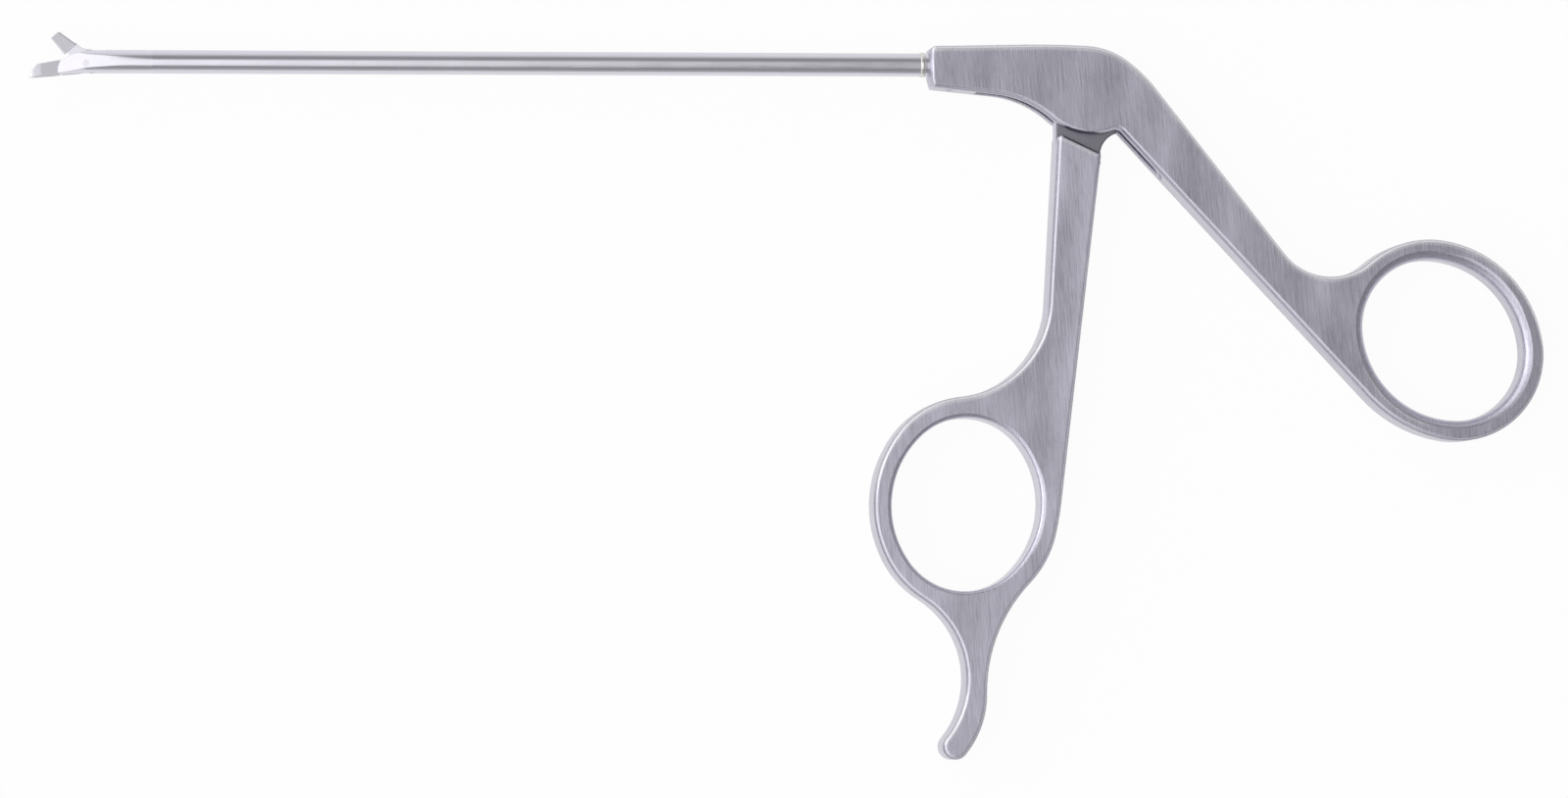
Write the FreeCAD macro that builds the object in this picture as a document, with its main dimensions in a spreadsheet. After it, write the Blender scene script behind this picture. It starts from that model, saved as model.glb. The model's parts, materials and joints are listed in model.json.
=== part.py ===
"""Punch forceps: a ring-handled biopsy punch with a 3.4 mm shaft and a hinged upper jaw.

Frame, in millimetres: the origin is on the handle pivot's axis at the face the instrument lies on,
+X runs from the jaws to the thumb ring, +Y from the finger ring up to the shaft, and +Z up.
Everything is symmetric about the middle plane of the handles. The model shows the jaw open.
Squeezing the rings turns the moving handle, whose arm pushes the rod forward and shuts the jaw.
"""

import FreeCAD, Part
import math
import os
import re
import Sketcher
from FreeCAD import Placement, Rotation, Vector

SIZES = {
    # Handles, both cut from one thickness of plate
    "handle_thickness": 6.0,
    "edge_chamfer": 0.4,
    "slot_width": 3.0,
    "tongue_side_clearance": 0.1,
    "pivot_diameter": 4.0,
    "running_clearance": 0.05,
    # Shaft and rod, on one axis above the handle pivot
    "shaft_height": 5.59,
    "tube_diameter": 3.4,
    "tube_bore": 2.2,
    "rod_diameter": 2.1,
    "nose_reach": 23.4,
    "working_length": 130.3,
    "braze_width": 0.7,
    "braze_height": 0.12,
    "braze_gap": 0.4,
    "nose_pin_reach": 20.0,
    "nose_pin_diameter": 1.3,
    "nose_pin_foot": 2.0,
    "cone_length": 1.5,
    "cone_height": 4.5,
    # Jaws, measured from the jaw pivot
    "jaw_length": 8.2,
    "jaw_pivot_drop": 0.39,
    "jaw_pin_diameter": 1.0,
    "jaw_swing": 50.0,
    "drive_rise": 1.19,
    "drive_pin_diameter": 0.7,
    "jaw_width": 2.1,
    "jaw_wall": 0.35,
    "jaw_side_clearance": 0.05,
    "tooth_length": 3.0,
    "tooth_depth": 1.4,
    "tooth_setback": 2.14,
    "cheek_gap": 1.2,
    "fork_gap": 0.56,
    "link_blade": 0.46,
    "jaw_piece_length": 17.7,
    # Lower jaw's outline: its beak, the flat below it and the crest behind the basket
    "beak_tip_drop": 1.65,
    "beak_slope": 1.09,
    "beak_top_drop": 0.09,
    "toe_setback": 0.07,
    "toe_drop": 1.93,
    "belly_setback": 1.4,
    "belly_drop": 1.96,
    "waist_reach": 1.5,
    "waist_drop": 1.44,
    "waist_end": 0.5,
    "crest_end": 1.2,
    "crest_reach": 1.05,
    "crest_height": 1.54,
    "crest_radius": 2.7,
    "crest_foot_reach": 3.05,
    "crest_foot_height": 0.63,
    "beak_flare": 0.85,
    # Ground sides of the cheeks and of the beak
    "cheek_flat_depth": 0.08,
    "cheek_grind_radius": 165.0,
    "cheek_front": 4.2,
    "cheek_stand": 0.06,
    "basket_side_reach": 4.05,
    "basket_side_drop": 1.0,
    "basket_side_height": 1.6,
    "basket_side_radius": 2.65,
    "beak_taper": 1.9,
    "beak_point": 0.3,
    "beak_taper_radius": 2.6,
    # Room in the lower jaw and the holes through its floor
    "cheek_slot_floor": 1.1,
    "cheek_slot_end": 2.8,
    "window_width": 0.9,
    "front_window_x": -4.985,
    "front_window_length": 1.41,
    "rear_window_x": -2.04,
    "rear_window_length": 2.52,
    "drain_x": 0.84,
    "cheek_pin_length": 2.5,
    # Upper jaw's tooth, neck and hub
    "tooth_top": 0.78,
    "tooth_front_top": 0.05,
    "tooth_front_chamfer": 0.35,
    "tooth_crown_radius": 0.25,
    "neck_foot": 1.0,
    "neck_top": 0.84,
    "hub_reach": 0.95,
    "hub_low_x": -0.6,
    "hub_low_y": -0.74,
    "ear_rear_x": 0.32,
    "ear_rear_y": 1.25,
    "ear_top_x": -0.5,
    "ear_top_y": 1.98,
    "ear_front_x": -1.34,
    "ear_front_y": 1.72,
    "ear_radius": 0.85,
    "nape_radius": 2.2,
    "fork_floor": 0.52,
    # Ends of the rod
    "link_nose_radius": 0.5,
    "link_neck_length": 1.9,
    "link_length": 3.3,
    "link_root_height": 1.4,
    "collar_length": 1.2,
    "eye_neck_length": 2.2,
    # Slot that the tongue swings in
    "slot_front": 16.35,
    "slot_roof": 7.1,
    "slot_rear_radius": 7.17,
    "slot_rear_x": 11.6,
    "slot_rear_y": -11.9,
    # Tongue of the moving handle
    "hub_radius": 4.4,
    "tongue_front": 4.7,
    "tongue_root": 3.0,
    "tongue_rear_x": 1.83,
    "tongue_rear_y": -7.0,
    "tongue_top_x": 4.18,
    "tongue_top_y": -4.43,
    "tongue_hollow": 3.5,
    "arm_width": 2.6,
    "fork_depth": 1.4,
    "eye_thickness": 1.2,
    "eye_side_clearance": 0.05,
    "eye_radius": 1.0,
    "link_pin_diameter": 1.2,
    # Fixed handle outline: lines by a point and a heading, circles by centre and radius
    "front_x": -23.3,
    "front_y": 5.0,
    "front_angle": -90.0,
    "under_x": -18.5,
    "under_y": 1.74,
    "under_angle": -6.0,
    "lobe_x": 0.43,
    "lobe_y": 4.23,
    "lobe_radius": 8.83,
    "leg_inside_x": 22.0,
    "leg_inside_y": -22.64,
    "leg_inside_angle": -47.06,
    "thumb_end_x": 54.53,
    "thumb_end_y": -36.79,
    "thumb_end_radius": 12.67,
    "thumb_top_x": 50.37,
    "thumb_top_y": -33.95,
    "thumb_top_radius": 13.97,
    "leg_outside_x": 20.0,
    "leg_outside_y": -10.84,
    "leg_outside_angle": 127.95,
    "back_x": -0.79,
    "back_y": -2.81,
    "back_radius": 11.06,
    "roof_x": -12.5,
    "roof_y": 8.32,
    "roof_angle": -178.9,
    "under_hollow": 14.88,
    "crotch_radius": 1.2,
    "thumb_low_radius": 20.48,
    "thumb_side_radius": 17.37,
    "thumb_neck_radius": 8.69,
    "shoulder_low_radius": 22.59,
    "shoulder_top_radius": 126.0,
    "nose_top_radius": 0.9,
    # Moving handle outline
    "step_x": -1.5,
    "step_y": -5.93,
    "step_angle": 154.73,
    "lever_left_x": -5.35,
    "lever_left_y": -16.5,
    "lever_left_angle": -93.67,
    "finger_left_x": -17.99,
    "finger_left_y": -56.16,
    "finger_left_radius": 13.31,
    "finger_low_x": -17.44,
    "finger_low_y": -60.04,
    "finger_low_radius": 14.39,
    "spur_tip_x": -20.49,
    "spur_tip_y": -93.58,
    "spur_tip_radius": 1.89,
    "spur_right_x": -15.83,
    "spur_right_y": -85.5,
    "spur_right_angle": 90.0,
    "finger_right_x": -20.13,
    "finger_right_y": -59.48,
    "finger_right_radius": 15.05,
    "lever_right_x": -1.34,
    "lever_right_y": -32.0,
    "lever_right_angle": 82.84,
    "step_left_radius": 0.6,
    "finger_neck_radius": 14.51,
    "finger_side_radius": 17.45,
    "spur_left_radius": 13.6,
    "spur_low_radius": 13.64,
    "spur_neck_radius": 22.9,
    "lever_foot_radius": 42.78,
    "step_right_radius": 0.6,
    # Ring openings: ovals of two end circles and two flatter sides, with bevelled rims
    "thumb_hole_high_x": 50.3,
    "thumb_hole_high_y": -32.83,
    "thumb_hole_high_radius": 9.98,
    "thumb_hole_low_x": 54.36,
    "thumb_hole_low_y": -36.59,
    "thumb_hole_low_radius": 9.98,
    "thumb_hole_side_radius": 14.13,
    "thumb_hole_bevel": 1.2,
    "finger_hole_high_x": -18.32,
    "finger_hole_high_y": -55.81,
    "finger_hole_high_radius": 9.92,
    "finger_hole_low_x": -18.84,
    "finger_hole_low_y": -61.25,
    "finger_hole_low_radius": 9.92,
    "finger_hole_side_radius": 14.02,
    "finger_hole_bevel": 0.55,
}

TIP_X = "-(nose_reach + working_length)"
JAW_X = f"({TIP_X} + jaw_length)"
JAW_Y = "(shaft_height - jaw_pivot_drop)"
MIDDLE = "handle_thickness / 2"
TONGUE = "(slot_width - 2 * tongue_side_clearance)"
HALF_TRAVEL = "drive_rise * tan(jaw_swing / 2)"
HALF_TURN = f"asin({HALF_TRAVEL} / shaft_height)"
TOOTH_WIDTH = "jaw_width - 2 * jaw_wall - 2 * jaw_side_clearance"
NECK_WIDTH = "cheek_gap - 2 * jaw_side_clearance"
TOOTH_TIP = "(jaw_length - tooth_setback)"
TOOTH_ROOT = f"({TOOTH_TIP} - tooth_length)"
COLLAR_X = f"({HALF_TRAVEL} + link_length)"
EYE_COLLAR_X = "(eye_neck_length + collar_length)"

document = FreeCAD.newDocument("punch_forceps")
sheet = document.addObject("Spreadsheet::Sheet", "dimensions")
for row, (name, size) in enumerate(SIZES.items(), start=1):
    sheet.set(f"A{row}", name)
    sheet.set(f"B{row}", str(size))
    sheet.setAlias(f"B{row}", name)
document.recompute()


def qualified(formula):
    """The formula with each size's name pointing at its cell."""
    def cell(match):
        word = match.group()
        return f"dimensions.{word}" if word in SIZES else word
    return re.sub(r"[a-z_]+", cell, formula)


def number(formula):
    """The formula's value: millimetres, or degrees for an angle."""
    result = sheet.evalExpression(qualified(formula))
    return float(getattr(result, "Value", result))


def bind(thing, place, formula):
    """Tie one property or constraint to the sheet."""
    thing.setExpression(place, qualified(formula))


def put(thing, x="0", y="0", z="0", axis=Vector(0, 0, 1), angle="0"):
    """Place a sub-part, its position and turn tied to the sheet."""
    thing.Placement = Placement(Vector(number(x), number(y), number(z)), Rotation(axis, number(angle)))
    bind(thing, "Placement.Base.x", x)
    bind(thing, "Placement.Base.y", y)
    bind(thing, "Placement.Base.z", z)
    if angle != "0":
        bind(thing, "Placement.Rotation.Angle", f"({angle}) * 1 deg")


def new_body(name, **place):
    body = document.addObject("PartDesign::Body", name)
    body.Label = name
    put(body, **place)
    return body


def new_sketch(body, name, role="XY_Plane", offset="0", turn="0"):
    """An empty sketch on one of the body's own planes, moved along its normal and turned in it."""
    sketch = body.newObject("Sketcher::SketchObject", name)
    plane = next(f for f in body.Origin.OriginFeatures if f.Role == role)
    sketch.AttachmentSupport = [(plane, "")]
    sketch.MapMode = "FlatFace"
    spin = Rotation(Vector(0, 0, 1), number(turn))
    sketch.AttachmentOffset = Placement(Vector(0, 0, number(offset)), spin)
    if offset != "0":
        bind(sketch, "AttachmentOffset.Base.z", offset)
    if turn != "0":
        bind(sketch, "AttachmentOffset.Rotation.Angle", turn)
    return sketch


def hold(sketch, kind, *where, formula):
    """Add one driving constraint and tie its value to the sheet."""
    value = number(formula)
    if kind == "Angle":
        value = math.radians(value)
    index = sketch.addConstraint(Sketcher.Constraint(kind, *where, value))
    bind(sketch, f"Constraints[{index}]", formula)


def hold_point(sketch, geometry, end, x, y):
    hold(sketch, "DistanceX", geometry, end, formula=x)
    hold(sketch, "DistanceY", geometry, end, formula=y)


def arc_between(start, end, centre, left):
    """The arc from start to end about centre, and which of its ends comes first."""
    radius = (start - centre).Length
    first, last = (start, end) if left else (end, start)
    low = math.atan2(first.y - centre.y, first.x - centre.x)
    high = math.atan2(last.y - centre.y, last.x - centre.x)
    if high <= low:
        high += 2 * math.pi
    circle = Part.Circle(centre, Vector(0, 0, 1), radius)
    return Part.ArcOfCircle(circle, low, high), (1, 2) if left else (2, 1)


def draw(sketch, points):
    """A closed outline through points (x, y, radius), all formulas.

    The radius bends the run that leaves its point: "0" is straight, a plus turns it to the left.
    """
    spots = [Vector(number(x), number(y), 0) for x, y, _ in points]
    ends = []
    for i, (_, _, bend) in enumerate(points):
        start = spots[i]
        end = spots[(i + 1) % len(spots)]
        radius = number(bend)
        if radius == 0:
            geometry, order = Part.LineSegment(start, end), (1, 2)
        else:
            chord = end - start
            rise = math.sqrt(radius ** 2 - (chord.Length / 2) ** 2)
            side = Vector(-chord.y, chord.x, 0).normalize() * math.copysign(rise, radius)
            geometry, order = arc_between(start, end, (start + end) * 0.5 + side, radius > 0)
        ends.append((sketch.addGeometry(geometry, False), order))
    for i, (geometry, order) in enumerate(ends):
        after, following = ends[(i + 1) % len(ends)]
        joint = Sketcher.Constraint("Coincident", geometry, order[1], after, following[0])
        sketch.addConstraint(joint)
        hold_point(sketch, geometry, order[0], points[i][0], points[i][1])
        if number(points[i][2]):
            hold(sketch, "Radius", geometry, formula=f"abs({points[i][2]})")


def draw_circle(sketch, x, y, diameter):
    middle = Vector(number(x), number(y), 0)
    circle = Part.Circle(middle, Vector(0, 0, 1), number(diameter) / 2)
    geometry = sketch.addGeometry(circle, False)
    hold_point(sketch, geometry, 3, x, y)
    hold(sketch, "Diameter", geometry, formula=diameter)


class Support:
    """A line or circle that an outline runs along: a line by a point and its heading in degrees."""

    def __init__(self, name, kind):
        self.name = name
        self.kind = kind
        self.point = Vector(number(f"{name}_x"), number(f"{name}_y"), 0)
        if kind == "line":
            turn = math.radians(number(f"{name}_angle"))
            self.normal = Vector(-math.sin(turn), math.cos(turn), 0)
        else:
            self.radius = number(f"{name}_radius")

    def touch(self, centre, radius):
        """Where a joining arc meets the support, and the outline's left-hand normal there."""
        if self.kind == "line":
            normal = self.normal
        else:
            normal = (centre - self.point) * (1 / (radius - self.radius))
        return centre - normal * radius, normal


def crossing(first, second, radius):
    """The possible centres of an arc of signed radius that touches both supports."""
    if first.kind == second.kind == "line":
        a, b = first.normal, second.normal
        p = a.dot(first.point) + radius
        q = b.dot(second.point) + radius
        scale = a.x * b.y - a.y * b.x
        return [Vector((p * b.y - q * a.y) / scale, (q * a.x - p * b.x) / scale, 0)]
    if first.kind == second.kind == "circle":
        reach = abs(radius - first.radius)
        other = abs(radius - second.radius)
        between = second.point - first.point
        along = (reach ** 2 - other ** 2 + between.Length ** 2) / (2 * between.Length)
        unit = between.normalize()
        foot = first.point + unit * along
        side = Vector(-unit.y, unit.x, 0) * math.sqrt(reach ** 2 - along ** 2)
        return [foot + side, foot - side]
    line, circle = (first, second) if first.kind == "line" else (second, first)
    reach = abs(radius - circle.radius)
    away = line.normal.dot(circle.point - line.point) - radius
    foot = circle.point - line.normal * away
    side = Vector(line.normal.y, -line.normal.x, 0) * math.sqrt(reach ** 2 - away ** 2)
    return [foot + side, foot - side]


def turning(first, second, radius):
    """The angle between two normals of the outline, taken the way that the arc bends."""
    heading = math.atan2(second.y, second.x) - math.atan2(first.y, first.x)
    heading %= 2 * math.pi
    return heading if radius > 0 else heading - 2 * math.pi


def draw_outline(sketch, supports, joins):
    """A closed outline along the supports, each pair joined by a tangent arc.

    Each join is (name, side): side +1 turns left round the named radius, -1 turns right, and 0
    is a sharp corner. Every support keeps its own point, heading and radius as constraints.
    """
    meets = []
    for i, (name, side) in enumerate(joins):
        first = supports[i]
        second = supports[(i + 1) % len(supports)]
        radius = side * number(name) if side else 0.0
        found = []
        for centre in crossing(first, second, radius):
            start, before = first.touch(centre, radius)
            end, after = second.touch(centre, radius)
            turn = abs(turning(before, after, radius)) if side else 0.0
            found.append((turn, len(found), start, end, centre))
        meets.append(min(found)[2:])
    runs = []
    for i, support in enumerate(supports):
        start = meets[i - 1][1]
        end = meets[i][0]
        if support.kind == "line":
            geometry, order = Part.LineSegment(start, end), (1, 2)
        else:
            geometry, order = arc_between(start, end, support.point, True)
        index = sketch.addGeometry(geometry, False)
        runs.append((index, order, "Tangent"))
        if support.kind == "line":
            guide = sketch.addGeometry(Part.Point(support.point), True)
            hold_point(sketch, guide, 1, f"{support.name}_x", f"{support.name}_y")
            sketch.addConstraint(Sketcher.Constraint("PointOnObject", guide, 1, index))
            hold(sketch, "Angle", index, formula=f"{support.name}_angle")
        else:
            hold_point(sketch, index, 3, f"{support.name}_x", f"{support.name}_y")
            hold(sketch, "Radius", index, formula=f"{support.name}_radius")
        name, side = joins[i]
        if side:
            begin, finish, centre = meets[i]
            geometry, order = arc_between(begin, finish, centre, side > 0)
            index = sketch.addGeometry(geometry, False)
            runs.append((index, order, "Tangent"))
            hold(sketch, "Radius", index, formula=name)
        else:
            runs[-1] = (index, order, "Coincident")
    for i, (geometry, order, joint) in enumerate(runs):
        after, following, _ = runs[(i + 1) % len(runs)]
        link = Sketcher.Constraint(joint, geometry, order[1], after, following[0])
        sketch.addConstraint(link)


def pad(body, sketch, length, both_ways=True, backwards=False):
    feature = body.newObject("PartDesign::Pad", f"{sketch.Name}_pad")
    feature.Profile = sketch
    if both_ways:
        feature.SideType = "Symmetric"
    feature.Reversed = backwards
    bind(feature, "Length", length)
    document.recompute()
    return feature


def cut(body, sketch, length=None, both_ways=True, backwards=False):
    """A pocket, right through when it has no length; it must take material away."""
    before = body.Shape.Volume
    feature = body.newObject("PartDesign::Pocket", f"{sketch.Name}_pocket")
    feature.Profile = sketch
    if both_ways:
        feature.SideType = "Symmetric"
    feature.Reversed = backwards
    if length is None:
        feature.Type = "ThroughAll"
    else:
        bind(feature, "Length", length)
    document.recompute()
    if body.Shape.Volume >= before - 1e-6:
        raise RuntimeError(f"{feature.Name} cuts nothing")
    return feature


def turn_away(body, sketch):
    """A groove all round the sketch's construction line."""
    before = body.Shape.Volume
    feature = body.newObject("PartDesign::Groove", f"{sketch.Name}_groove")
    feature.Profile = sketch
    feature.ReferenceAxis = (sketch, ["Axis0"])
    feature.Angle = 360
    document.recompute()
    if body.Shape.Volume >= before - 1e-6:
        raise RuntimeError(f"{feature.Name} cuts nothing")
    return feature


def shaft_line(sketch, y):
    """The construction line along X that a groove turns about."""
    line = Part.LineSegment(Vector(-10, number(y), 0), Vector(10, number(y), 0))
    geometry = sketch.addGeometry(line, True)
    hold_point(sketch, geometry, 1, "-10", y)
    hold_point(sketch, geometry, 2, "10", y)


def dress(body, kind, chosen, size):
    """A chamfer or fillet on the edges of the last feature that chosen picks."""
    base = body.Tip
    picked = [f"Edge{i + 1}" for i, edge in enumerate(base.Shape.Edges) if chosen(edge)]
    feature = body.newObject(f"PartDesign::{kind}", f"{base.Name}_{kind.lower()}")
    feature.Base = (base, picked)
    bind(feature, "Size" if kind == "Chamfer" else "Radius", size)
    document.recompute()
    return feature


def on_plate_face(edge):
    """True for an edge that lies in one of the handle's two flat faces."""
    box = edge.BoundBox
    half = number(MIDDLE)
    return box.ZLength < 1e-6 and abs(abs(box.ZMin) - half) < 1e-6


def ring_opening(body, name):
    """The finger opening of a ring handle, an oval whose two rims are bevelled."""
    ends = [Support(f"{name}_{end}", "circle") for end in ("high", "low")]
    side = f"{name}_side_radius"
    sketch = new_sketch(body, name)
    draw_outline(sketch, ends, [(side, 1), (side, 1)])
    cut(body, sketch)
    middle = (ends[0].point + ends[1].point) * 0.5
    reach = (ends[0].point - middle).Length + ends[0].radius

    def rim(edge):
        corner = edge.Vertexes[0].Point
        near = math.hypot(corner.x - middle.x, corner.y - middle.y) < reach + 0.01
        return near and on_plate_face(edge)
    dress(body, "Chamfer", rim, f"{name}_bevel")


def pin(name, diameter, length, x, y, z=MIDDLE, axis=Vector(0, 0, 1), angle="0"):
    """A plain round pin along its own Z, its foot at x, y, z."""
    cylinder = document.addObject("Part::Cylinder", name)
    cylinder.Label = name
    bind(cylinder, "Radius", f"({diameter}) / 2")
    bind(cylinder, "Height", length)
    put(cylinder, x, y, z, axis, angle)
    return cylinder


def make_fixed_handle():
    body = new_body("fixed_handle", z=MIDDLE)
    outline = new_sketch(body, "fixed_outline")
    kinds = {
        "front": "line",
        "under": "line",
        "lobe": "circle",
        "leg_inside": "line",
        "thumb_end": "circle",
        "thumb_top": "circle",
        "leg_outside": "line",
        "back": "circle",
        "roof": "line",
    }
    joins = [
        ("", 0),
        ("under_hollow", -1),
        ("crotch_radius", -1),
        ("thumb_low_radius", 1),
        ("thumb_side_radius", 1),
        ("thumb_neck_radius", -1),
        ("shoulder_low_radius", 1),
        ("shoulder_top_radius", 1),
        ("nose_top_radius", 1),
    ]
    draw_outline(outline, [Support(name, kind) for name, kind in kinds.items()], joins)
    pad(body, outline, "handle_thickness")
    dress(body, "Chamfer", on_plate_face, "edge_chamfer")

    # The nose falls away as a cone about the shaft.
    nose = new_sketch(body, "nose_cone")
    shaft_line(nose, "shaft_height")
    rim = "shaft_height + tube_diameter / 2"
    draw(nose, [
        ("-nose_reach - 0.2", rim, "0"),
        ("-nose_reach - 0.2 + cone_length", f"{rim} + cone_height", "0"),
        ("-nose_reach - 1", f"{rim} + cone_height", "0"),
        ("-nose_reach - 1", rim, "0"),
    ])
    turn_away(body, nose)

    seat = new_sketch(body, "tube_seat", "YZ_Plane", offset="-slot_front + 0.5")
    draw_circle(seat, "shaft_height", "0", "tube_diameter")
    cut(body, seat, both_ways=False)

    slot = new_sketch(body, "tongue_slot")
    corner = "sqrt(slot_rear_radius * slot_rear_radius - slot_roof * slot_roof)"
    draw(slot, [
        ("-slot_front", "slot_rear_y - 4", "0"),
        ("slot_rear_x", "slot_rear_y - 4", "0"),
        ("slot_rear_x", "slot_rear_y", "0"),
        ("slot_rear_radius", "0", "slot_rear_radius"),
        (corner, "slot_roof", "0"),
        ("-slot_front", "slot_roof", "0"),
    ])
    cut(body, slot, "slot_width")

    hinge = new_sketch(body, "hinge_bore")
    draw_circle(hinge, "0", "0", "pivot_diameter")
    cut(body, hinge)

    drilled = new_sketch(body, "nose_pin_bore", "XZ_Plane", offset="-shaft_height")
    draw_circle(drilled, "-nose_pin_reach", "0", "nose_pin_diameter")
    cut(body, drilled, both_ways=False, backwards=True)

    ring_opening(body, "thumb_hole")
    return body


def make_moving_handle():
    body = new_body("moving_handle", z=MIDDLE)
    outline = new_sketch(body, "moving_outline")
    kinds = {
        "step": "line",
        "lever_left": "line",
        "finger_left": "circle",
        "finger_low": "circle",
        "spur_tip": "circle",
        "spur_right": "line",
        "finger_right": "circle",
        "lever_right": "line",
    }
    joins = [
        ("step_left_radius", 1),
        ("finger_neck_radius", -1),
        ("finger_side_radius", 1),
        ("spur_left_radius", -1),
        ("spur_low_radius", 1),
        ("spur_neck_radius", -1),
        ("lever_foot_radius", 1),
        ("step_right_radius", 1),
    ]
    draw_outline(outline, [Support(name, kind) for name, kind in kinds.items()], joins)
    pad(body, outline, "handle_thickness")
    dress(body, "Chamfer", on_plate_face, "edge_chamfer")

    # The tongue rises from the step into the slot, round the pivot.
    tongue = new_sketch(body, "tongue")
    draw(tongue, [
        ("-tongue_front", "step_y - tongue_root", "0"),
        ("tongue_rear_x", "step_y - tongue_root", "0"),
        ("tongue_rear_x", "tongue_rear_y", "-tongue_hollow"),
        ("tongue_top_x", "tongue_top_y", "0"),
        ("hub_radius", "0", "hub_radius"),
        ("0", "hub_radius", "hub_radius"),
        ("-hub_radius", "0", "0"),
        ("-tongue_front", "-hub_radius / 2", "0"),
    ])
    pad(body, tongue, TONGUE)

    # The arm leans back by half the handle's turn, so that it swings evenly about upright.
    arm = new_sketch(body, "arm", turn=f"-{HALF_TURN}")
    draw(arm, [
        ("arm_width / 2", "0", "0"),
        ("arm_width / 2", "shaft_height", "arm_width / 2"),
        ("0", "shaft_height + arm_width / 2", "arm_width / 2"),
        ("-arm_width / 2", "shaft_height", "0"),
        ("-arm_width / 2", "0", "0"),
    ])
    pad(body, arm, TONGUE)
    fork = new_sketch(body, "arm_fork", turn=f"-{HALF_TURN}")
    floor = "shaft_height - fork_depth"
    draw(fork, [
        ("-arm_width", floor, "0"),
        ("arm_width", floor, "0"),
        ("arm_width", "shaft_height + arm_width", "0"),
        ("-arm_width", "shaft_height + arm_width", "0"),
    ])
    cut(body, fork, "eye_thickness + 2 * eye_side_clearance")
    link = new_sketch(body, "link_bore", turn=f"-{HALF_TURN}")
    draw_circle(link, "0", "shaft_height", "link_pin_diameter")
    cut(body, link)

    hinge = new_sketch(body, "lever_bore")
    draw_circle(hinge, "0", "0", "pivot_diameter + 2 * running_clearance")
    cut(body, hinge)
    ring_opening(body, "finger_hole")
    return body


def make_tube():
    """The outer tube, from the jaw piece to the front wall of the slot."""
    front = f"({TIP_X} + jaw_piece_length)"
    body = new_body("shaft_tube", x=front, y="shaft_height", z=MIDDLE)
    section = new_sketch(body, "tube_section", "YZ_Plane")
    draw_circle(section, "0", "0", "tube_diameter")
    draw_circle(section, "0", "0", "tube_bore")
    pad(body, section, f"-slot_front - {front}", both_ways=False)
    return body


def make_braze_ring():
    """The thin ring of braze where the tube enters the nose."""
    start = "(-nose_reach - braze_gap - braze_width)"
    body = new_body("braze_ring", x=start, y="shaft_height", z=MIDDLE)
    section = new_sketch(body, "braze_section", "YZ_Plane")
    draw_circle(section, "0", "0", "tube_diameter + 2 * braze_height")
    draw_circle(section, "0", "0", "tube_diameter")
    pad(body, section, "braze_width", both_ways=False)
    rim = number("tube_diameter / 2 + braze_height")
    dress(body, "Chamfer", lambda edge: abs(edge.BoundBox.YLength / 2 - rim) < 1e-4
          and edge.BoundBox.XLength < 1e-6, "braze_height * 0.8")
    return body


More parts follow.
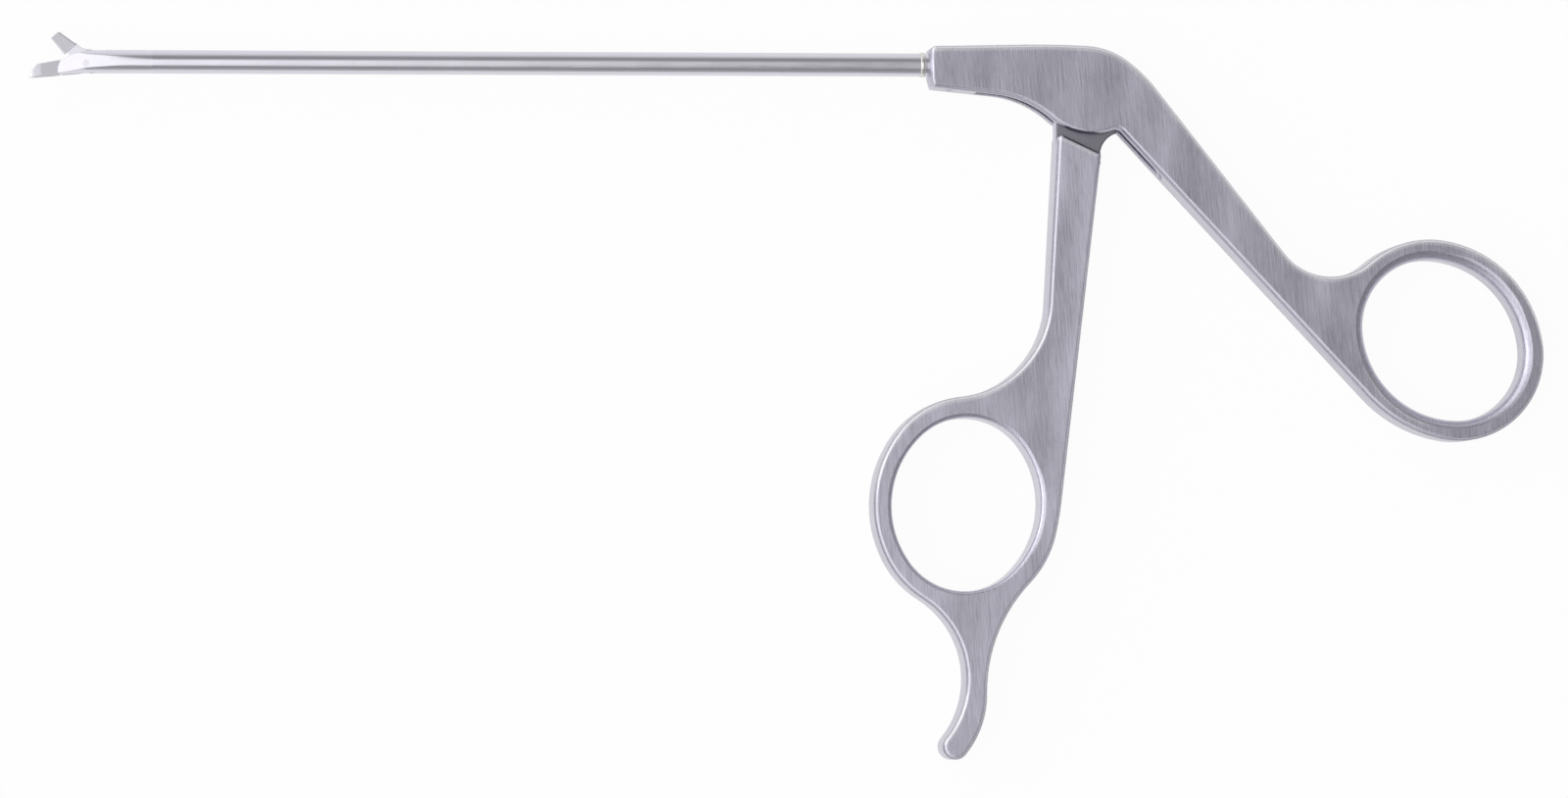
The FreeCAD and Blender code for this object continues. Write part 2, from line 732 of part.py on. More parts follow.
def make_lower_jaw():
    """The fixed jaw piece: basket, cheeks and the round end that the tube is welded to."""
    body = new_body("lower_jaw", x=JAW_X, y=JAW_Y, z=MIDDLE)
    rear = "(jaw_piece_length - jaw_length)"
    radius = "tube_diameter / 2"
    spare = 0.3
    low = f"jaw_pivot_drop - {radius} - {spare}"
    high = f"jaw_pivot_drop + {radius} + {spare}"
    profile = new_sketch(body, "jaw_profile")
    draw(profile, [
        ("-jaw_length + toe_setback", "-toe_drop", "0"),
        ("-jaw_length + belly_setback", "-belly_drop", "0"),
        ("-waist_reach", "-waist_drop", "0"),
        ("waist_end", low, "0"),
        (rear, low, "0"),
        (rear, high, "0"),
        ("crest_end", high, "0"),
        ("-crest_reach", "crest_height", "crest_radius"),
        ("-crest_foot_reach", "crest_foot_height", "0"),
        ("-jaw_length + beak_slope", "-beak_top_drop", "0"),
        ("-jaw_length", "-beak_tip_drop", "0"),
    ])
    pad(body, profile, f"tube_diameter + 2 * {spare}")

    # Turned round about the shaft behind the pivot, opening out a little to the beak.
    round_off = new_sketch(body, "jaw_round")
    shaft_line(round_off, "jaw_pivot_drop")
    draw(round_off, [
        (f"{rear} + 1", f"jaw_pivot_drop + {radius}", "0"),
        (f"{rear} + 1", f"jaw_pivot_drop + {radius} + 2", "0"),
        ("-jaw_length - 1", f"jaw_pivot_drop + {radius} + 2", "0"),
        ("-jaw_length - 1", f"jaw_pivot_drop + {radius} + beak_flare", "0"),
        ("0", f"jaw_pivot_drop + {radius}", "0"),
    ])
    turn_away(body, round_off)

    # Each side is ground down towards the cheeks, then stepped in to the basket's walls.
    for side, word in ((1, "near"), (-1, "far")):
        grind = new_sketch(body, f"{word}_grind", "XZ_Plane")
        outer = f"{side} * ({radius} + 1)"
        draw(grind, [
            (f"{rear} - 0.1", f"{side} * ({radius} - cheek_flat_depth)", f"{side} * cheek_grind_radius"),
            ("-cheek_front", f"{side} * (jaw_width / 2 + cheek_stand)", "0"),
            ("-jaw_length - 1", f"{side} * (jaw_width / 2 + cheek_stand)", "0"),
            ("-jaw_length - 1", outer, "0"),
            (f"{rear} - 0.1", outer, "0"),
        ])
        cut(body, grind)
        wall = new_sketch(body, f"{word}_wall", offset=f"{side} * jaw_width / 2")
        draw(wall, [
            ("-jaw_length - 1", "-toe_drop - 1", "0"),
            ("-basket_side_reach", "-toe_drop - 1", "0"),
            ("-basket_side_reach", "-basket_side_drop", "-basket_side_radius"),
            ("-crest_reach", "basket_side_height", "0"),
            ("-crest_reach", "basket_side_height + 1", "0"),
            ("-jaw_length - 1", "basket_side_height + 1", "0"),
        ])
        cut(body, wall, both_ways=False, backwards=side > 0)
        beak = new_sketch(body, f"{word}_beak", "XZ_Plane")
        draw(beak, [
            ("-jaw_length + beak_taper", f"{side} * jaw_width / 2", f"{side} * beak_taper_radius"),
            ("-jaw_length", f"{side} * beak_point", "0"),
            ("-jaw_length - 1", f"{side} * beak_point", "0"),
            ("-jaw_length - 1", outer, "0"),
            ("-jaw_length + beak_taper", outer, "0"),
        ])
        cut(body, beak)

    # The basket takes the whole tooth; the gap behind it takes the upper jaw's neck and link.
    basket = new_sketch(body, "basket")
    floor = "-tooth_depth - jaw_side_clearance"
    above = "crest_height + 1"
    front = f"-sqrt({TOOTH_TIP} * {TOOTH_TIP} + tooth_depth * tooth_depth) - 2 * jaw_side_clearance"
    back = f"-{TOOTH_ROOT} + 2 * jaw_side_clearance"
    draw(basket, [
        (front, floor, "0"),
        (back, floor, "0"),
        (back, above, "0"),
        (front, above, "0"),
    ])
    cut(body, basket, "jaw_width - 2 * jaw_wall")
    gap = new_sketch(body, "cheek_slot")
    start = f"-{TOOTH_ROOT} - 2 * jaw_side_clearance"
    draw(gap, [
        (start, "-cheek_slot_floor", "0"),
        ("cheek_slot_end", "-cheek_slot_floor", "0"),
        ("cheek_slot_end", above, "0"),
        (start, above, "0"),
    ])
    cut(body, gap, "cheek_gap")
    bore = new_sketch(body, "jaw_bore", "YZ_Plane", offset="cheek_slot_end - 0.8")
    draw_circle(bore, "jaw_pivot_drop", "0", "tube_bore")
    cut(body, bore, both_ways=False, backwards=True)

    # Two windows and a drain hole let the bites out below.
    windows = new_sketch(body, "floor_windows", "XZ_Plane")
    for name in ("front_window", "rear_window"):
        start = f"{name}_x - {name}_length / 2"
        end = f"{name}_x + {name}_length / 2"
        draw(windows, [
            (start, "-window_width / 2", "0"),
            (end, "-window_width / 2", "0"),
            (end, "window_width / 2", "0"),
            (start, "window_width / 2", "0"),
        ])
    draw_circle(windows, "drain_x", "0", "window_width")
    cut(body, windows, both_ways=False, backwards=True)
    hinge = new_sketch(body, "cheek_bore")
    draw_circle(hinge, "0", "0", "jaw_pin_diameter")
    cut(body, hinge)
    return body


def make_upper_jaw():
    """The hinged jaw, drawn shut about its pivot and turned open by its placement."""
    body = new_body("upper_jaw", x=JAW_X, y=JAW_Y, z=MIDDLE, angle="-jaw_swing")
    tooth = new_sketch(body, "tooth")
    draw(tooth, [
        (f"-{TOOTH_TIP}", "-tooth_depth", "0"),
        (f"-{TOOTH_ROOT}", "-tooth_depth", "0"),
        (f"-{TOOTH_ROOT}", "tooth_top", "0"),
        (f"-{TOOTH_TIP} + tooth_front_chamfer / 4", "tooth_front_top", "0"),
        (f"-{TOOTH_TIP}", "tooth_front_top - tooth_front_chamfer", "0"),
    ])
    pad(body, tooth, TOOTH_WIDTH)

    def crown(edge):
        middle = edge.CenterOfMass
        along = edge.BoundBox.ZLength < 1e-6 and edge.BoundBox.XLength > 1
        return along and middle.y > 0
    dress(body, "Fillet", crown, "tooth_crown_radius")

    # Neck, hub and the fork that the drive pin works in.
    tail = new_sketch(body, "jaw_tail")
    draw(tail, [
        (f"-{TOOTH_ROOT} - 0.2", "-neck_foot", "0"),
        ("hub_low_x", "hub_low_y", "hub_reach"),
        ("hub_reach", "0", "0"),
        ("ear_rear_x", "ear_rear_y", "ear_radius"),
        ("ear_top_x", "ear_top_y", "ear_radius"),
        ("ear_front_x", "ear_front_y", "-nape_radius"),
        (f"-{TOOTH_ROOT} + 0.3", "neck_top", "0"),
        (f"-{TOOTH_ROOT} - 0.2", "neck_top", "0"),
    ])
    pad(body, tail, NECK_WIDTH)
    fork = new_sketch(body, "jaw_fork")
    draw(fork, [
        ("ear_front_x", "fork_floor", "0"),
        ("hub_reach + 1", "fork_floor", "0"),
        ("hub_reach + 1", "ear_top_y + 1", "0"),
        ("ear_front_x", "ear_top_y + 1", "0"),
    ])
    cut(body, fork, "fork_gap")

    # The drive pin keeps its height, so its slot runs out from the pivot.
    half = "(drive_pin_diameter / 2 + running_clearance)"
    far = "drive_rise / cos(jaw_swing / 2)"
    slide = new_sketch(body, "drive_slot", turn="jaw_swing / 2 * 1 deg")
    draw(slide, [
        (half, "drive_rise", "0"),
        (half, far, half),
        ("0", f"{far} + {half}", half),
        (f"-{half}", far, "0"),
        (f"-{half}", "drive_rise", half),
        ("0", f"drive_rise - {half}", half),
    ])
    cut(body, slide)
    hinge = new_sketch(body, "jaw_hinge")
    draw_circle(hinge, "0", "0", "jaw_pin_diameter + 2 * running_clearance")
    cut(body, hinge)
    return body


def make_drive_link():
    """The rod's front end: a collar and the flat blade that carries the drive pin."""
    body = new_body("drive_link", x=JAW_X, y=JAW_Y, z=MIDDLE)
    blade = new_sketch(body, "link_blade_outline")
    half = "link_root_height / 2"
    draw(blade, [
        (HALF_TRAVEL, "drive_rise + link_nose_radius", "link_nose_radius"),
        (f"{HALF_TRAVEL} - link_nose_radius", "drive_rise", "link_nose_radius"),
        (HALF_TRAVEL, "drive_rise - link_nose_radius", "0"),
        (f"{HALF_TRAVEL} + link_neck_length", "drive_rise - link_nose_radius", "0"),
        (COLLAR_X, f"jaw_pivot_drop - {half}", "0"),
        (COLLAR_X, f"jaw_pivot_drop + {half}", "0"),
    ])
    pad(body, blade, "link_blade")
    collar = new_sketch(body, "link_collar", "YZ_Plane", offset=COLLAR_X)
    draw_circle(collar, "jaw_pivot_drop", "0", "rod_diameter")
    pad(body, collar, "collar_length", both_ways=False)
    hole = new_sketch(body, "drive_pin_bore")
    draw_circle(hole, HALF_TRAVEL, "drive_rise", "drive_pin_diameter")
    cut(body, hole)
    return body


def make_rod_eye():
    """The rod's rear end: a collar and the flat eye that the arm's pin works in."""
    body = new_body("rod_eye", x=HALF_TRAVEL, y="shaft_height", z=MIDDLE)
    flat = new_sketch(body, "eye_flat")
    draw(flat, [
        ("-eye_neck_length", "-eye_radius", "0"),
        ("0", "-eye_radius", "eye_radius"),
        ("eye_radius", "0", "eye_radius"),
        ("0", "eye_radius", "0"),
        ("-eye_neck_length", "eye_radius", "0"),
    ])
    pad(body, flat, "eye_thickness")
    collar = new_sketch(body, "eye_collar", "YZ_Plane", offset="-eye_neck_length")
    draw_circle(collar, "0", "0", "rod_diameter")
    pad(body, collar, "collar_length", both_ways=False, backwards=True)
    hole = new_sketch(body, "eye_bore")
    draw_circle(hole, "0", "0", "link_pin_diameter + 3 * running_clearance")
    cut(body, hole)
    return body


def make_pins():
    half_cheek = "cheek_pin_length / 2"
    turned = Vector(0, 1, 0)
    upright = Vector(1, 0, 0)
    rod_front = f"({JAW_X} + {COLLAR_X} + collar_length)"
    rod_rear = f"({HALF_TRAVEL} - {EYE_COLLAR_X})"
    tube_foot = "shaft_height - tube_diameter / 2 - 0.02"
    arm_tilt = HALF_TURN
    return [
        pin("handle_pivot_pin", "pivot_diameter", "handle_thickness", "0", "0", "0"),
        pin("link_pin", "link_pin_diameter", TONGUE, f"shaft_height * sin({arm_tilt})",
            f"shaft_height * cos({arm_tilt})", f"{MIDDLE} - {TONGUE} / 2"),
        pin("jaw_pivot_pin", "jaw_pin_diameter", "cheek_pin_length", JAW_X, JAW_Y,
            f"{MIDDLE} - {half_cheek}"),
        pin("drive_pin", "drive_pin_diameter", NECK_WIDTH, f"{JAW_X} + {HALF_TRAVEL}",
            f"{JAW_Y} + drive_rise", f"{MIDDLE} - ({NECK_WIDTH}) / 2"),
        pin("drive_rod", "rod_diameter", f"{rod_rear} - {rod_front}", rod_front, "shaft_height",
            MIDDLE, turned, "90"),
        pin("nose_pin", "nose_pin_diameter", f"{tube_foot} - nose_pin_foot", "-nose_pin_reach", tube_foot,
            MIDDLE, upright, "90"),
    ]


parts = [
    make_fixed_handle(),
    make_moving_handle(),
    make_tube(),
    make_braze_ring(),
    make_lower_jaw(),
    make_upper_jaw(),
    make_drive_link(),
    make_rod_eye(),
    *make_pins(),
]
document.recompute()

for thing in document.Objects:
    if "Invalid" in thing.State or "Error" in thing.State:
        raise RuntimeError(f"{thing.Name} failed")
for part in parts:
    if part.Shape.isNull() or not part.Shape.isValid():
        raise RuntimeError(f"{part.Label} has no valid shape")

os.makedirs("parts", exist_ok=True)
for part in parts:
    part.Shape.exportStep(f"parts/{part.Label}.step")
    print(part.Label, round(part.Shape.Volume, 3), len(part.Shape.Solids))
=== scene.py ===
"""Studio view of a pair of punch forceps: satin steel handles, a polished shaft and fine jaws."""

import json
import math
from collections import namedtuple

import bmesh
import bpy
import numpy as np
from mathutils import Matrix, Vector


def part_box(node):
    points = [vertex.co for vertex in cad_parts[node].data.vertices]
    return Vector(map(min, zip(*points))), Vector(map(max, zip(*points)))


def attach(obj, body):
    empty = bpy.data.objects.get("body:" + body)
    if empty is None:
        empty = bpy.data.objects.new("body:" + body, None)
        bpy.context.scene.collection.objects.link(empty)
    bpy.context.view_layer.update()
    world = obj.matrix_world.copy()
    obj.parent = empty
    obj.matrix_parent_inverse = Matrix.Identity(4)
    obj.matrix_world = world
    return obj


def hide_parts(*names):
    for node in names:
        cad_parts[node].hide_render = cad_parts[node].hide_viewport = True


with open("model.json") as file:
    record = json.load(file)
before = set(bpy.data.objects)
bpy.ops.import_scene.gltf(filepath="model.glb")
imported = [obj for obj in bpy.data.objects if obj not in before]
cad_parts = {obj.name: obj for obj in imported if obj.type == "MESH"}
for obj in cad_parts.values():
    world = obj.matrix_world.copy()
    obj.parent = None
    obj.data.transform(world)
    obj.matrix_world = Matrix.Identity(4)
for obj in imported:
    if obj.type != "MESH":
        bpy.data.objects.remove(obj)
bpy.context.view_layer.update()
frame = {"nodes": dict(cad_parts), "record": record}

MM = 0.001


def middle_of(node):
    """The middle of a node's box."""
    low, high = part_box(node)
    return (low + high) / 2


# Places that the finishes refer to, in metres; the origin lies on the handle pivot
HANDLE_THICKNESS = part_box("fixed_handle")[1].z
MID_HEIGHT = HANDLE_THICKNESS / 2
HANDLE_PIVOT = (0.0, 0.0)
HANDLE_PIN_REACH = 0.0030
TONGUE_HALF_WIDTH = 0.0019
TONGUE_REACH = 0.010
JAW_PIVOT = middle_of("jaw_pivot_pin")
JAW_PIN_REACH = 0.0007
JAW_NECK_REACH = 0.0032
BASKET_HALF_WIDTH = 0.00108
BASKET_REAR = JAW_PIVOT.x - 0.00375
SHAFT_AXIS = middle_of("shaft_tube")
JAW_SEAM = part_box("shaft_tube")[0].x
SEAM_REACH = 0.0006
RUN_OUT_START = JAW_SEAM - 0.0070

# Ring openings: an oval of two end circles and two side arcs, and the width of its rounded rim
Opening = namedtuple("Opening", "high low end_radius side_radius rim")
THUMB_OPENING = Opening((0.05030, -0.03283), (0.05436, -0.03659), 0.00998, 0.01413, 0.0012)
FINGER_OPENING = Opening((-0.01832, -0.05581), (-0.01884, -0.06125), 0.00992, 0.01402, 0.00055)

# How the photograph was taken: a far lens above the instrument, a little towards the jaws
PHOTO_WIDTH = 1600
SENSOR_MM = 36.0
FOCAL_PIXELS = 7741
LENS_MM = FOCAL_PIXELS * SENSOR_MM / PHOTO_WIDTH
TARGET = Vector((-44.81, -43.07, 3.0)) * MM
TOWARDS_LENS = Vector((-0.131, -0.0506, 1.0)).normalized()
LENS_DISTANCE = 1.1
ROLL = math.radians(-0.089)

# How bright the parts of the room are
LEFT_LEVEL = 1.85
SIDE_LEVEL = 0.56
RIGHT_LEVEL = 0.45
MID_LEVEL = 0.35
AHEAD_LEVEL = 0.35
SOFTBOX_LEVEL = 1.5
RIGHT_BOX_LEVEL = 0.40

# Steel colours, most as the steel looks under plain light: a faint lavender cast, light and dark of
# the brush lines; some below are painted shade or a painted highlight, as marked
SATIN_LIGHT = (0.615, 0.60, 0.695)
SATIN_DARK = (0.435, 0.424, 0.495)
# The satin steel darkened for the fixed handle and its thumb ring: painted shade
SHADED_SATIN_LIGHT = (0.56, 0.546, 0.635)
SHADED_SATIN_DARK = (0.395, 0.385, 0.45)
POLISHED = (0.70, 0.685, 0.75)
POLISHED_DARK = (0.65, 0.635, 0.70)
BLASTED_LIGHT = (0.57, 0.56, 0.605)
BLASTED_DARK = (0.49, 0.48, 0.52)
TOOTH_LIGHT = (0.66, 0.65, 0.70)
TOOTH_DARK = (0.56, 0.55, 0.595)
TURNED_DARK = (0.58, 0.57, 0.62)
# Painted shade for the lever's recessed tongue
SHADED = (0.27, 0.262, 0.30)
GROUND = (0.72, 0.705, 0.77)
BRAZE_PALE = (0.74, 0.73, 0.70)
BRAZE_DARK = (0.64, 0.63, 0.59)
# A pale edge tone: edge wear and a painted highlight on the bevels, and a painted highlight beside the
# top edges
WORN_EDGE_AND_HIGHLIGHT = (0.86, 0.85, 0.90)

# How far edge wear with its painted highlight, and the painted highlight band beside the top edges,
# reach into a face, and the sizes of slow changes, in metres
EDGE_HIGHLIGHT_AND_WEAR_REACH = 0.00025
BAND_REACH = 0.0009
HANDLING_SIZE = 0.02
HOLLOW_SIZE = 0.009

# Brush lines: the share of coarse strokes in them, and the noise values that they are drawn between
COARSE_SHARE = 0.45
STROKES_LOW = 0.40
STROKES_HIGH = 0.60

# How strongly edge wear and its painted highlight show, and how the roughness changes where steel is
# ground or as milled
EDGE_HIGHLIGHT_AND_WEAR_STRENGTH = 8.0
GROUND_CHANGE = -0.16
MILLED_CHANGE = 0.10


# Shader helpers

def fill(tree, socket, value):
    """Give a socket its value: another socket, a number, a vector or a colour without alpha."""
    if isinstance(value, bpy.types.NodeSocket):
        tree.links.new(value, socket)
    elif socket.type == "RGBA":
        socket.default_value = (*value, 1.0)
    else:
        socket.default_value = value


def node_of(tree, kind, **settings):
    """A node of the tree with its settings and constant inputs given by name."""
    node = tree.nodes.new(kind)
    for name, value in settings.items():
        if hasattr(node, name):
            setattr(node, name, value)
        else:
            node.inputs[name.replace("_", " ")].default_value = value
    return node


def new_group(name, inputs, outputs):
    """An empty shader group of plain numbers: its inputs with their defaults, and its outputs."""
    group = bpy.data.node_groups.new(name, "ShaderNodeTree")
    for label, default in inputs.items():
        socket = group.interface.new_socket(label, in_out="INPUT", socket_type="NodeSocketFloat")
        socket.default_value = default
    for label in outputs:
        group.interface.new_socket(label, in_out="OUTPUT", socket_type="NodeSocketFloat")
    return group, group.nodes.new("NodeGroupInput"), group.nodes.new("NodeGroupOutput")


def placed(tree, group, **values):
    """The group as a node of the tree, with its own values."""
    node = tree.nodes.new("ShaderNodeGroup")
    node.node_tree = group
    for name, value in values.items():
        node.inputs[name].default_value = value
    return node


def math_node(tree, operation, first, second=0.0):
    """A Math node; each input is a socket or a number."""
    node = node_of(tree, "ShaderNodeMath", operation=operation)
    fill(tree, node.inputs[0], first)
    fill(tree, node.inputs[1], second)
    return node.outputs[0]


def vector_math(tree, operation, first, second=(0.0, 0.0, 0.0)):
    """A Vector Math node; each input is a socket or three numbers."""
    node = node_of(tree, "ShaderNodeVectorMath", operation=operation)
    fill(tree, node.inputs[0], first)
    fill(tree, node.inputs[1], second)
    return node.outputs["Value" if operation in ("DOT_PRODUCT", "LENGTH") else "Vector"]


def mixed(tree, factor, first, second):
    """A colour mix; each input is a socket or a constant."""
    node = node_of(tree, "ShaderNodeMix", data_type="RGBA")
    fill(tree, node.inputs[0], factor)
    fill(tree, node.inputs[6], first)
    fill(tree, node.inputs[7], second)
    return node.outputs[2]


def ranged(tree, value, low, high, start=0.0, end=1.0):
    """A Map Range from low..high to start..end."""
    node = node_of(tree, "ShaderNodeMapRange", From_Min=low, From_Max=high, To_Min=start, To_Max=end)
    fill(tree, node.inputs["Value"], value)
    return node.outputs[0]


def parts_of(tree, vector):
    """The X, Y and Z of a vector."""
    node = tree.nodes.new("ShaderNodeSeparateXYZ")
    fill(tree, node.inputs[0], vector)
    return node.outputs


def own_place(tree):
    """The point in the piece's own coordinates."""
    return tree.nodes.new("ShaderNodeTexCoord").outputs["Object"]


def eased_normal(tree, radius, samples=6):
    """The normal of the surface with its edges rounded to this radius."""
    node = node_of(tree, "ShaderNodeBevel", samples=samples)
    fill(tree, node.inputs["Radius"], radius)
    return node.outputs[0]


def true_normal(tree):
    """The normal of the flat face itself, without smoothing."""
    return tree.nodes.new("ShaderNodeNewGeometry").outputs["True Normal"]


def turned_normal(tree, normal, start, end):
    """A normal carried over between the world's and the piece's own directions."""
    node = node_of(tree, "ShaderNodeVectorTransform", vector_type="NORMAL",
                   convert_from=start, convert_to=end)
    fill(tree, node.inputs[0], normal)
    return node.outputs[0]


def level_faces(tree, low, high):
    """1 on faces that lie level, 0 on upright ones, with the steepness where it changes."""
    steepness = math_node(tree, "ABSOLUTE", parts_of(tree, true_normal(tree))["Z"])
    return ranged(tree, steepness, low, high)


def stretched_noise(tree, place, scales, detail, roughness):
    """Noise with a grain of its own size along X, Y and Z; the scales are grains per metre."""
    scale = tree.nodes.new("ShaderNodeCombineXYZ")
    for socket, value in zip(scale.inputs, scales):
        fill(tree, socket, value)
    noise = node_of(tree, "ShaderNodeTexNoise", Scale=1.0, Detail=detail, Roughness=roughness)
    fill(tree, noise.inputs["Vector"], vector_math(tree, "MULTIPLY", place, scale.outputs[0]))
    return noise.outputs["Fac"]


# Effects that several steels share

def brushing_group():
    """Brush lines: noise drawn out along one direction, coarse and fine strokes together."""
    group, inlet, outlet = new_group(
        "brushing", {"Turn": 0.0, "Spacing": 0.0003, "Length": 0.008}, ["Lines", "Fine Lines"])
    spin = node_of(group, "ShaderNodeVectorRotate", rotation_type="Z_AXIS")
    fill(group, spin.inputs["Vector"], own_place(group))
    fill(group, spin.inputs["Angle"], inlet.outputs["Turn"])
    for label, finer in (("Lines", 1.0), ("Fine Lines", 3.1)):
        across = math_node(group, "DIVIDE", finer, inlet.outputs["Spacing"])
        along = math_node(group, "DIVIDE", finer, inlet.outputs["Length"])
        grain = stretched_noise(group, spin.outputs[0], (across, along, across), 2.5, 0.55)
        fill(group, outlet.inputs[label], grain)
    return group


def edge_highlight_and_wear_group():
    """A mask that is 1 on outer edges, where the eased normal leaves the true one: there edges lighten
    with wear and a painted highlight.
    """
    group, inlet, outlet = new_group(
        "edge_highlight_and_wear", {"Reach": EDGE_HIGHLIGHT_AND_WEAR_REACH, "Strength": EDGE_HIGHLIGHT_AND_WEAR_STRENGTH}, ["Edge"])
    smooth = group.nodes.new("ShaderNodeNewGeometry").outputs["Normal"]
    agree = vector_math(group, "DOT_PRODUCT", eased_normal(group, inlet.outputs["Reach"]), smooth)
    apart = math_node(group, "SUBTRACT", 1.0, agree)
    strong = math_node(group, "MULTIPLY", apart, inlet.outputs["Strength"])
    clear = group.nodes.new("ShaderNodeClamp")
    fill(group, clear.inputs[0], strong)
    fill(group, outlet.inputs["Edge"], clear.outputs[0])
    return group


def handling_group():
    """Slow changes of tone from handling and cleaning."""
    group, inlet, outlet = new_group("handling", {"Size": HANDLING_SIZE}, ["Cloud", "Smudge"])
    scale = math_node(group, "DIVIDE", 1.0, inlet.outputs["Size"])
    finer = math_node(group, "MULTIPLY", scale, 3.7)
    for label, size, detail, roughness in (("Cloud", scale, 3.0, 0.5), ("Smudge", finer, 4.0, 0.6)):
        noise = node_of(group, "ShaderNodeTexNoise", Detail=detail, Roughness=roughness)
        fill(group, noise.inputs["Vector"], own_place(group))
        fill(group, noise.inputs["Scale"], size)
        fill(group, outlet.inputs[label], noise.outputs["Fac"])
    return group


def waviness_group():
    """Slow hollows and swells left by hand grinding: a height from 0 to 1, drawn out along Y."""
    group, inlet, outlet = new_group("hand_ground", {"Size": HOLLOW_SIZE}, ["Swell"])
    across = math_node(group, "DIVIDE", 1.0, inlet.outputs["Size"])
    along = math_node(group, "MULTIPLY", across, 0.4)
    swell = stretched_noise(group, own_place(group), (across, along, along), 1.0, 0.4)
    fill(group, outlet.inputs["Swell"], swell)
    return group


def top_edge_highlight_group():
    """A mask that rises from 0 to 1 across the flat towards the edges that face along +Y: a painted
    highlight beside those top edges.
    """
    group, inlet, outlet = new_group("top_edge_highlight_mask", {"Reach": BAND_REACH}, ["Band"])
    eased = eased_normal(group, inlet.outputs["Reach"], samples=8)
    own = turned_normal(group, eased, "WORLD", "OBJECT")
    towards = ranged(group, parts_of(group, own)["Y"], 0.05, 0.20)
    band = math_node(group, "MULTIPLY", towards, level_faces(group, 0.55, 0.65))
    fill(group, outlet.inputs["Band"], band)
    return group


BRUSHING = brushing_group()
EDGE_HIGHLIGHT_AND_WEAR = edge_highlight_and_wear_group()
HANDLING = handling_group()
WAVINESS = waviness_group()
TOP_EDGE_HIGHLIGHT = top_edge_highlight_group()


# Masks of places on the instrument

def off_middle(tree, reach, blend):
    """1 where the point lies further than reach above or below the instrument's mid height."""
    off = math_node(tree, "SUBTRACT", parts_of(tree, own_place(tree))["Z"], MID_HEIGHT)
    return ranged(tree, math_node(tree, "ABSOLUTE", off), reach - blend, reach + blend)


def near_axis(tree, centre, radius, blend):
    """1 inside a cylinder of this radius that stands on the plane at centre (x, y)."""
    shift = node_of(tree, "ShaderNodeMapping", vector_type="POINT",
                    Location=(-centre[0], -centre[1], 0.0))
    fill(tree, shift.inputs["Vector"], own_place(tree))
    flat = vector_math(tree, "MULTIPLY", shift.outputs[0], (1.0, 1.0, 0.0))
    far = vector_math(tree, "LENGTH", flat)
    return ranged(tree, far, radius - blend, radius + blend, 1.0, 0.0)


def around_opening(tree, opening):
    """1 on the rim of a ring opening and just beside it."""
    reach = opening.end_radius + opening.rim + 0.0004
    return math_node(tree, "MAXIMUM", near_axis(tree, opening.high, reach, 0.0002),
                     near_axis(tree, opening.low, reach, 0.0002))


def near_seam(tree):
    """1 beside the plane where the jaw piece is blended into the tube."""
    off = math_node(tree, "SUBTRACT", parts_of(tree, own_place(tree))["X"], JAW_SEAM)
    return ranged(tree, math_node(tree, "ABSOLUTE", off), SEAM_REACH * 0.6, SEAM_REACH, 1.0, 0.0)


def beside_handle_pin_and_opening(tree):
    """1 where the fixed handle's pin is flush and where its ring is lined."""
    return math_node(tree, "MAXIMUM", near_axis(tree, HANDLE_PIVOT, HANDLE_PIN_REACH, 0.0003),
                     around_opening(tree, THUMB_OPENING))


def beside_finger_opening(tree):
    """1 where the lever's ring is lined."""
    return around_opening(tree, FINGER_OPENING)


def beside_jaw_pin_and_seam(tree):
    """1 where the jaw pin is flush and where the jaw piece meets the tube."""
    return math_node(tree, "MAXIMUM", near_axis(tree, JAW_PIVOT, JAW_PIN_REACH, 0.0001),
                     near_seam(tree))


def tongue(tree):
    """1 on the level faces of the lever's thin tongue, a recess that painted shade darkens."""
    inner = math_node(tree, "SUBTRACT", 1.0, off_middle(tree, TONGUE_HALF_WIDTH, 0.0001))
    inner = math_node(tree, "MULTIPLY", inner, level_faces(tree, 0.8, 0.9))
    return math_node(tree, "MULTIPLY", inner, near_axis(tree, HANDLE_PIVOT, TONGUE_REACH, 0.0005))


def cheeks(tree):
    """1 on the flanks that stand outside the basket, and on all that lies behind the basket."""
    blend = 0.00002
    along = parts_of(tree, own_place(tree))["X"]
    rear = ranged(tree, along, BASKET_REAR - blend, BASKET_REAR + blend)
    return math_node(tree, "MAXIMUM", off_middle(tree, BASKET_HALF_WIDTH, blend), rear)


def jaw_neck(tree):
    """1 on the upper jaw's neck, round its pivot."""
    return near_axis(tree, JAW_PIVOT, JAW_NECK_REACH, 0.0001)


def run_out(tree, normal):
    """The normal, turned towards the round of the shaft between the cheeks and the jaw's seam.

    Only faces that look away from the shaft's axis turn, so inner walls keep their own normal.
    """
    place = own_place(tree)
    along = ranged(tree, parts_of(tree, place)["X"], RUN_OUT_START, JAW_SEAM)
    shift = vector_math(tree, "SUBTRACT", place, tuple(SHAFT_AXIS))
    flat = vector_math(tree, "MULTIPLY", shift, (0.0, 1.0, 1.0))
    radial = turned_normal(tree, vector_math(tree, "NORMALIZE", flat), "OBJECT", "WORLD")
    agree = vector_math(tree, "DOT_PRODUCT", radial, true_normal(tree))
    amount = math_node(tree, "MULTIPLY", along, ranged(tree, agree, 0.3, 0.6))
    blend = node_of(tree, "ShaderNodeMix", data_type="VECTOR")
    fill(tree, blend.inputs[0], amount)
    fill(tree, blend.inputs[4], normal)
    fill(tree, blend.inputs[5], radial)
    return vector_math(tree, "NORMALIZE", blend.outputs[1])


# Brushed steel, of which every finish is one setting

def darker(colour, share):
    """The colour with each part scaled by share."""
    return tuple(part * share for part in colour)


